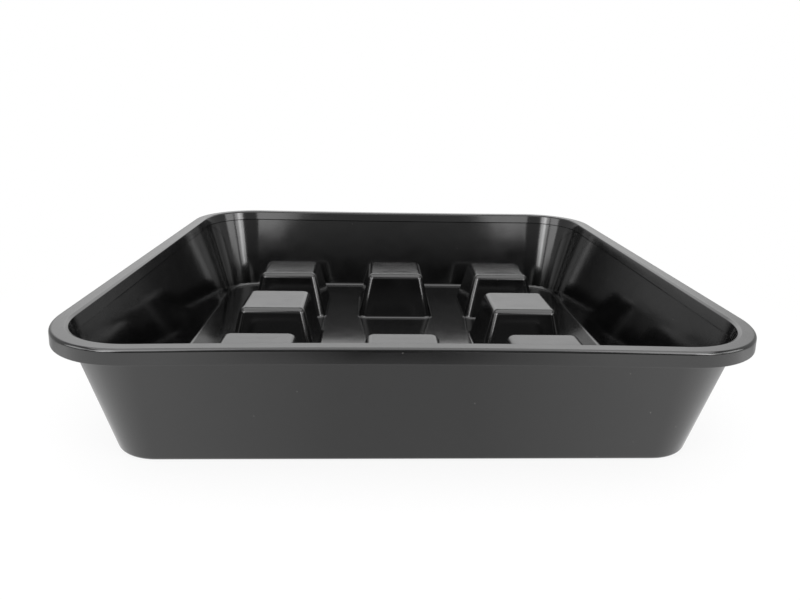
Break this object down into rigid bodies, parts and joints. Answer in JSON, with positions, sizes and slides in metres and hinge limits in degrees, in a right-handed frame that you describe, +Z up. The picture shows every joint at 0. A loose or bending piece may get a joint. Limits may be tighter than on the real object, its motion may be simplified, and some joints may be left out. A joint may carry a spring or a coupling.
{
  "type": "square plant saucer",
  "caption": "Square plant saucer moulded in one piece, with drafted walls, a turned-down rim and hollow stands that hold the pot above the run-off water.",
  "frame": {"origin": "centre of the flat underside, on the ground the saucer stands on", "axes": "+Z up through the middle of the saucer; +X and +Y square to its walls, +X to the right and +Y to the back as the picture shows it"},
  "size_m": [0.401, 0.401, 0.0785],
  "materials": {
    "black_polypropylene": "satin black moulded polypropylene with a very fine grain"
  },
  "bodies": {
    "root": {"saucer": "black_polypropylene"}
  },
  "joints": []
}
